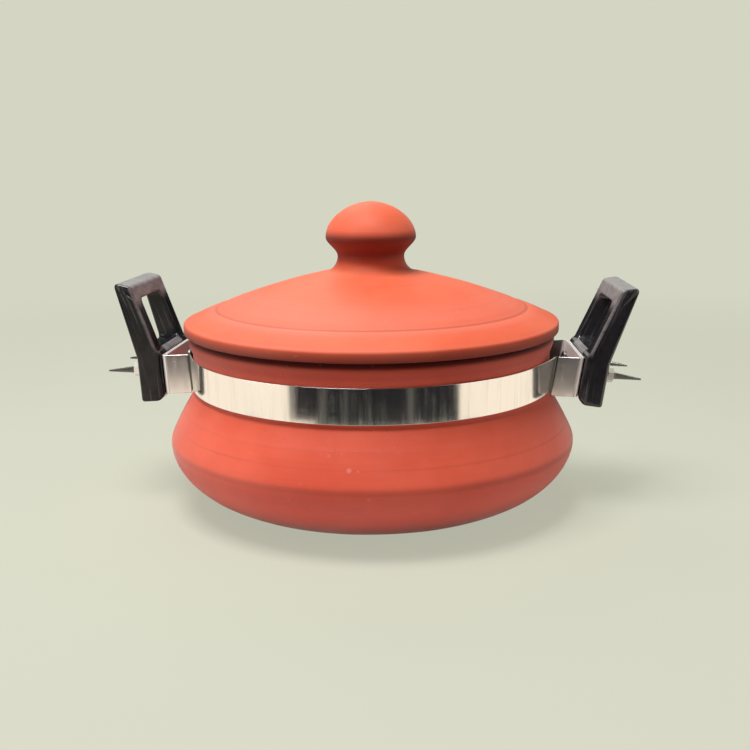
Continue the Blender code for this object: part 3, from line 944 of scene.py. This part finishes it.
def scuffsAndPaintedHighlights(place, side):
    # the grip's top and inner edges and the ledge under the window are scuffed to a pale matte skin that
    # also paints their highlights
    stand = handlePlace(side)
    turned = {"Vector": place, "Location": stand.translation, "Rotation": stand.to_euler()}
    x, y, z = splitPlace(place.node("ShaderNodeMapping", {"vector_type": "TEXTURE"}, turned))
    across = abs(y)
    half = handle["width"] / 2
    overBlock = z - handle["blockHeight"]
    overTop = overBlock - handle["gripHeight"]
    leanOut = handle["blockThickness"] + handle["gripLean"] - handle["topThickness"] - handle["backTop"]
    fromFace = x - handle["backTop"] - overBlock.orMore(0.0) * (leanOut / handle["gripHeight"])
    face = fromFace.ramp(*scuffAndHighlightMasks["face"]) * (overTop + handle["topBar"]).ramp(*scuffAndHighlightMasks["faceFoot"])
    top = face.orMore(overTop.ramp(*scuffAndHighlightMasks["top"])) * (across - half).ramp(*scuffAndHighlightMasks["sides"])
    ledge = x.ramp(*scuffAndHighlightMasks["ledge"]) * between(z, *scuffAndHighlightMasks["ledgeHeight"])
    ledge = ledge * across.ramp(*scuffAndHighlightMasks["ledgeSides"])
    corner = (fromFace + half - across).ramp(*scuffAndHighlightMasks["corner"])
    corner = corner * overBlock.ramp(*scuffAndHighlightMasks["cornerFoot"]) * scuffAndHighlightMasks["cornerShare"]
    skin = top.orMore(corner).orMore(ledge) * patchesAt(place, *scuffAndHighlightMasks["patches"])

    # fine rubbed lines run up the legs, and paint highlight streaks along them
    lineSockets = {0: fromFace, 1: y, 2: z * scuffAndHighlightMasks["lineStretch"]}
    alongLeg = place.node("ShaderNodeCombineXYZ", None, lineSockets)
    return skin.orMore(patchesAt(alongLeg, *scuffAndHighlightMasks["lines"]))


def mouldingMaterial(side):
    shine = moulding["shine"][side]
    constants = {"Specular IOR Level": 0.5 * shine, "Coat Roughness": moulding["coatRoughness"]}
    material, shader, place = startMaterial("blackMoulding_" + side, constants)
    scuffedAndHighlit = scuffsAndPaintedHighlights(place, side)
    dust = patchesAt(place, *moulding["dust"])
    rubbed = patchesAt(place, *moulding["rubbed"])
    deep, pale = [
        tuple(part * moulding["blackShadedPerSide"][side] for part in moulding[tint])
        for tint in ("deepTint", "swirlTint")
    ]
    colour = blendColours(patchesAt(place, *moulding["swirl"]), deep, pale)
    colour = blendColours(dust * 0.12, colour, moulding["dustColour"])
    # pale scuffs, which also stand as painted highlights
    colour = blendColours(scuffedAndHighlit, colour, moulding["scuffAndHighlightColour"])
    plug(shader.inputs["Base Color"], colour)
    plug(shader.inputs["Roughness"], moulding["roughness"] + rubbed * 0.1 + dust * 0.2 + scuffedAndHighlit * 0.4)
    plug(shader.inputs["Coat Weight"], (moulding["coat"] - rubbed * 0.2) * shine * (1 - scuffedAndHighlit))
    peel = noiseAt(place, *moulding["peel"]) + dust * 0.3
    plug(shader.inputs["Normal"], bumpFrom(peel, moulding["relief"], moulding["reliefDepth"]))
    return material


def handleOutline():
    topZ = handle["blockHeight"] + handle["gripHeight"]
    outerTop = handle["blockThickness"] + handle["gripLean"]
    innerCorner = (outerTop - handle["topThickness"], topZ)
    bend = (handle["blockThickness"], handle["blockHeight"] - handle["bendDrop"])
    outerCorner = (outerTop, topZ + handle["topRise"])
    return [
        (0, handle["toe"]),
        (0, handle["blockHeight"] - handle["backTop"]),
        (handle["backTop"], handle["blockHeight"]),
        innerCorner,
        *roundOff(innerCorner, outerCorner, bend, handle["topCorner"], steps=7),
        bend,
        (handle["blockThickness"], 0),
        (handle["toe"], 0),
    ]


def windowCutter():
    # a bar through the grip, with its four long edges rounded
    across = handle["width"] - 2 * handle["legWidth"]
    tall = handle["gripHeight"] - handle["topBar"]
    cutter = addBlock(handle["cutterLength"], across, tall)
    makeActive(cutter)
    bpy.ops.object.mode_set(mode="EDIT")
    bpy.ops.mesh.select_all(action="DESELECT")
    bpy.ops.object.mode_set(mode="OBJECT")
    for edge in cutter.data.edges:
        ends = [cutter.data.vertices[i].co for i in edge.vertices]
        edge.select = abs(ends[0].x - ends[1].x) > handle["cutterLength"] / 2
    bpy.ops.object.mode_set(mode="EDIT")
    bpy.ops.mesh.select_mode(type="EDGE")
    bpy.ops.mesh.bevel(offset=handle["windowRound"], segments=handle["windowSteps"], affect="EDGES")
    bpy.ops.mesh.select_mode(type="VERT")
    bpy.ops.object.mode_set(mode="OBJECT")
    middleX = handle["blockThickness"] / 2
    bake(cutter, Matrix.Translation((middleX, 0, handle["blockHeight"] + tall / 2)))
    return cutter


def buildHandle(side):
    half = handle["width"] / 2
    points = [(x, -half, z) for x, z in handleOutline()]
    piece = startPoint("handleLoop_" + side, points[0])
    drawOutline(points)
    bpy.ops.mesh.select_all(action="SELECT")
    bpy.ops.mesh.edge_face_add()
    bpy.ops.mesh.extrude_region_move(TRANSFORM_OT_translate={"value": (0, handle["width"], 0)})
    bpy.ops.mesh.select_all(action="SELECT")
    bpy.ops.mesh.normals_make_consistent(inside=False)
    bpy.ops.object.mode_set(mode="OBJECT")
    edges = {"segments": handle["edgeSteps"], "limit_method": "ANGLE", "use_clamp_overlap": False}
    applyModifier(piece, "BEVEL", width=handle["edgeRound"], angle_limit=handle["edgeAngle"], **edges)
    cutOut(piece, windowCutter())
    applyModifier(piece, "BEVEL", width=handle["windowEdge"], angle_limit=handle["windowAngle"], **edges)
    bake(piece, handlePlace(side))
    setMaterial(piece, mouldingMaterial(side))
    smoothByArea(piece, handle["smoothAngle"])
    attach(piece, "pot")
    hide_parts("handle_" + side)
    print("moulded", piece.name, len(piece.data.polygons), "faces")


for side in ("right", "left"):
    buildHandle(side)


# Bolts, with the CAD's washers and nuts

bolt = {
    "radius": 0.002,
    "headRadius": 0.0038,
    "headCrown": 0.0015,
    "headEdge": 0.001,
    "end": 0.0156,
    "tipRadius": 0.0006,
    "nutThickness": 0.0032,
    "washerThickness": 0.0008,
    "pitch": 0.0009,
    "threadDepth": 0.00026,
    "slotWidth": 0.0011,
    "slotDepth": 0.0009,
    "steps": 28,
    "smoothAngle": 30,
}


def boltOutline(grip):
    crown = arc((0, -bolt["headEdge"]), (bolt["headRadius"], bolt["headCrown"]), -90, 0, steps=8)
    points = crown + [(bolt["headRadius"], 0), (bolt["radius"], 0), (bolt["radius"], grip)]
    taper = (bolt["radius"] - bolt["tipRadius"]) / bolt["end"]
    for thread in range(int(bolt["end"] / bolt["pitch"])):
        along = bolt["pitch"] * (thread + 0.5)
        points.append((bolt["radius"] - taper * along - bolt["threadDepth"], grip + along))
        along += bolt["pitch"] / 2
        points.append((bolt["radius"] - taper * along, grip + along))
    end = grip + bolt["end"]
    return points + [(bolt["tipRadius"] * 0.6, end - bolt["tipRadius"] * 0.4), (0, end)]


def buildBolt(node, side, across, material):
    underHead = 2 * (band["thickness"] + gap)
    grip = underHead + handle["blockThickness"] + 3 * gap + bolt["washerThickness"] + bolt["nutThickness"]
    piece = turnPiece("screw_" + node, boltOutline(grip), bolt["steps"])
    slot = addBlock(3 * bolt["headRadius"], bolt["slotWidth"], 2 * bolt["slotDepth"])
    bake(slot, Matrix.Translation((0, 0, -bolt["headEdge"] - bolt["headCrown"])))
    cutOut(piece, slot)
    bake(piece, boltPlace(side, across, -underHead))
    setMaterial(piece, material)
    smoothByAngle(piece, bolt["smoothAngle"])
    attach(piece, "pot")
    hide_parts(node)


boltSteel = steelMaterial("boltSteel", "bolt")
nutSteel = steelMaterial("nutSteel", "nut")
for side, frontSign in (("right", -1), ("left", 1)):
    for end, sign in (("front", frontSign), ("rear", -frontSign)):
        buildBolt("bolt_" + side + "_" + end, side, sign, boltSteel)
        for kind in ("washer_", "nut_"):
            setMaterial(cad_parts[kind + side + "_" + end], nutSteel)
print("bolts, washers and nuts done")


# Floor and light

studio = {
    "paper": (0.66, 0.67, 0.545),
    "paperBounce": (0.55, 0.42, 0.41),  # what it throws back at the piece
    "softShadow": 0.67,                 # the share of plain paper that shows through the shadow
    "shadowReach": (0.3, 1.0),          # how far out the shadow fades away
    "floorSize": 8.0,
    "world": 0.04,
    "facing": -86.2,                    # the side that the camera looks from, in degrees about Z
    "aim": (0, 0, 0.08),
    "cardStep": 4,                      # degrees
    "dark": (0.016, 0.015, 0.018),
    "dim": (0.13, 0.125, 0.11),
    "white": (1.16, 1.02, 0.85),
    # place, size and power
    "softboxes": {
        "topSoftbox": ((-0.2, -0.25, 1.15), (0.55, 0.55), 15),
        "backSoftbox": ((-0.35, 0.9, 1.0), (0.8, 0.5), 4),
        "lowSoftbox": ((-0.9, -0.45, 0.085), (0.5, 0.16), 1.35),
        "fillSoftbox": ((1.0, -0.4, 0.3), (0.5, 0.4), 0.9),
    },
    # radius, height, the angles of both ends from the facing side, and colour
    "cards": {
        "flagFront": (0.30, 0.5, -42, 45, "dark"),
        "flagRear": (0.30, 0.13, 140, 222, "dark"),
        "flagBehindLeft": (0.32, 0.2, 172, 200, "dark"),
        "cardRight": (0.31, 0.055, 45, 138, "white"),
        "cardLeft": (0.31, 0.055, -136, -42, "white"),
        "lowCardRight": (0.18, 0.05, 50, 100, "white"),
        "lowCardLeft": (0.18, 0.05, -100, -60.5, "white"),
        "lowCardMiddle": (0.18, 0.05, -52, -37, "white"),
        "tabCardRight": (0.18, 0.037, 8, 26, "white"),
        "tabCardLeft": (0.18, 0.043, -37, -24, "white"),
        "streakFarLeft": (0.29, 0.2, -25, -22.4, "dim"),
        "streakLeft": (0.29, 0.2, -13.4, -12, "dim"),
        "streakRight": (0.29, 0.2, 17.6, 20.6, "dim"),
    },
}


def seenRays(tree):
    # 1 for what the camera sees, straight or by reflection, and 0 for light that falls on the piece
    rays = Socket(tree).node("ShaderNodeLightPath").out.node.outputs
    seen = Socket(tree, rays["Is Camera Ray"])
    for kind in ("Is Glossy Ray", "Is Transmission Ray"):
        seen = seen + Socket(tree, rays[kind])
    return seen.orLess(1.0)


def paperMaterial():
    material, shader, place = startMaterial("paper", {"Roughness": 0.9, "Specular IOR Level": 0.1})
    x, y = splitPlace(place)[:2]
    away = (x * x + y * y).power(0.5)
    seen = seenRays(place.tree)
    plug(shader.inputs["Base Color"], blendColours(seen, studio["paperBounce"], studio["paper"]))
    flat = place.node("ShaderNodeEmission", None, {"Color": studio["paper"], "Strength": 1.0})
    far = away.ramp(*studio["shadowReach"], studio["softShadow"], 1.0) * seen
    lit = Socket(place.tree, shader.outputs[0])
    mixed = far.node("ShaderNodeMixShader", None, {0: far, 1: lit, 2: flat})
    plug(place.tree.nodes["Material Output"].inputs["Surface"], mixed)
    return material


def cardMaterial(name, colour):
    material = bpy.data.materials.new(name)
    material.use_nodes = True
    tree = material.node_tree
    glow = Socket(tree).node("ShaderNodeEmission", None, {"Color": colour, "Strength": 1.0})
    plug(tree.nodes["Material Output"].inputs["Surface"], glow)
    return material


def addCard(name, radius, height, start, end, material):
    # an upright curved card round the pot, seen only in reflections
    steps = max(int((end - start) / studio["cardStep"]), 1)
    facing = studio["facing"]
    plan = arc((0, 0), (radius, radius), facing + start, facing + end, steps)
    points = [(x, y, 0) for x, y in plan]
    card = startPoint(name, points[0])
    drawOutline(points)
    bpy.ops.mesh.select_all(action="SELECT")
    bpy.ops.mesh.extrude_region_move(TRANSFORM_OT_translate={"value": (0, 0, height)})
    bpy.ops.object.mode_set(mode="OBJECT")
    setMaterial(card, material)
    card.visible_camera = False
    card.visible_diffuse = False
    card.visible_shadow = False


def addSoftbox(name, place, size, power):
    data = bpy.data.lights.new(name, "AREA")
    data.shape = "RECTANGLE"
    data.size, data.size_y = size
    data.energy = power
    lamp = bpy.data.objects.new(name, data)
    bpy.context.scene.collection.objects.link(lamp)
    lamp.location = place
    lamp.rotation_euler = (Vector(studio["aim"]) - Vector(place)).to_track_quat("-Z", "Y").to_euler()


def lightWorld():
    world = bpy.data.worlds.new("studio")
    bpy.context.scene.world = world
    world.use_nodes = True
    tree = world.node_tree
    soft = tree.nodes["Background"]
    plug(soft.inputs["Color"], (1, 1, 1))
    plug(soft.inputs["Strength"], studio["world"])
    seen = seenRays(tree)
    paper = seen.node("ShaderNodeBackground", None, {"Color": studio["paper"], "Strength": 1.0})
    sockets = {0: seen, 1: Socket(tree, soft.outputs[0]), 2: paper}
    mixed = seen.node("ShaderNodeMixShader", None, sockets)
    plug(tree.nodes["World Output"].inputs["Surface"], mixed)


def buildStudio():
    deselectAll()
    bpy.ops.mesh.primitive_plane_add(size=studio["floorSize"], location=(0, 0, 0))
    floor = bpy.context.object
    floor.name = "floor"
    setMaterial(floor, paperMaterial())

    for name, (place, size, power) in studio["softboxes"].items():
        addSoftbox(name, place, size, power)

    shades = {kind: cardMaterial(kind + "Card", studio[kind]) for kind in ("dark", "white", "dim")}
    for name, (radius, height, start, end, kind) in studio["cards"].items():
        addCard(name, radius, height, start, end, shades[kind])
    lightWorld()
    bpy.context.scene.view_settings.view_transform = "Standard"


buildStudio()
print("studio lit")
